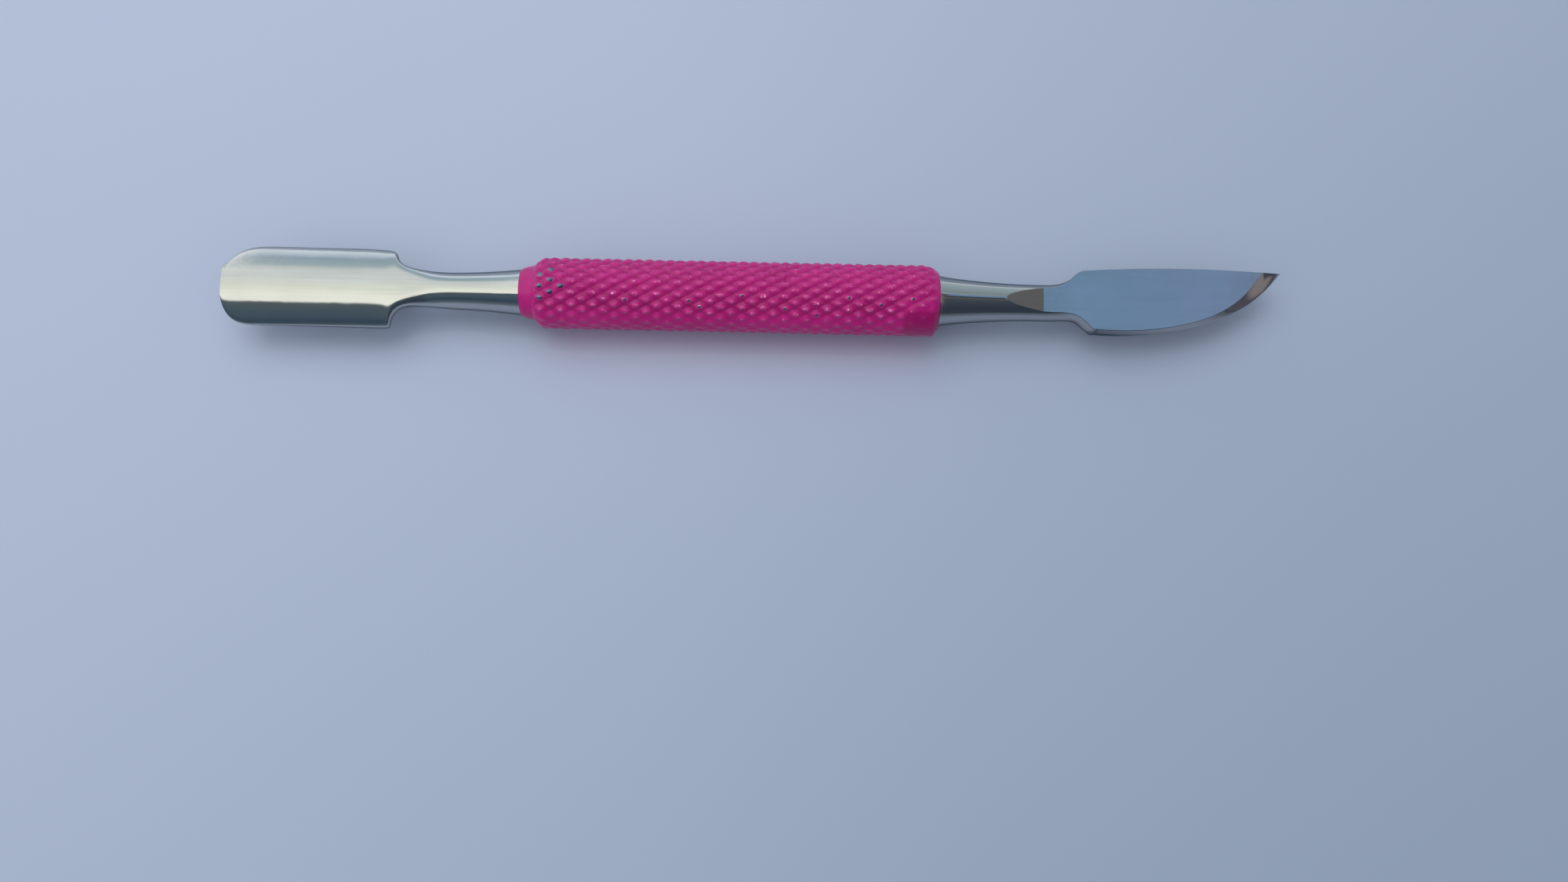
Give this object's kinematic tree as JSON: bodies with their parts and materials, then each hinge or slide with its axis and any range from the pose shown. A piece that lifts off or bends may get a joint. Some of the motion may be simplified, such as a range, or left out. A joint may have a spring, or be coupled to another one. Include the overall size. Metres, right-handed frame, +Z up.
{
  "type": "cuticle pusher",
  "caption": "Double-ended metal cuticle pusher: curved spoon end, knife-shaped scraper end and a knurled, coated round grip.",
  "frame": {"origin": "on the tool's axis at the middle of the grip", "axes": "+X along the tool from the curved pusher to the knife-shaped blade, +Y towards the blade's back, +Z up, the side of the pusher's rounded back"},
  "size_m": [0.1209, 0.0092, 0.0082],
  "materials": {
    "sleeve_steel": "knurled bare steel, seen only where the enamel is worn",
    "grip_enamel": "glossy magenta enamel over a diamond knurl",
    "pusher_steel": "mirror-polished stainless steel",
    "blade_steel": "mirror-polished stainless steel, ground flats"
  },
  "bodies": {
    "root": {"handle_sleeve": "sleeve_steel", "grip_coating": "grip_enamel", "pusher_end": "pusher_steel", "blade_end": "blade_steel"}
  },
  "joints": []
}
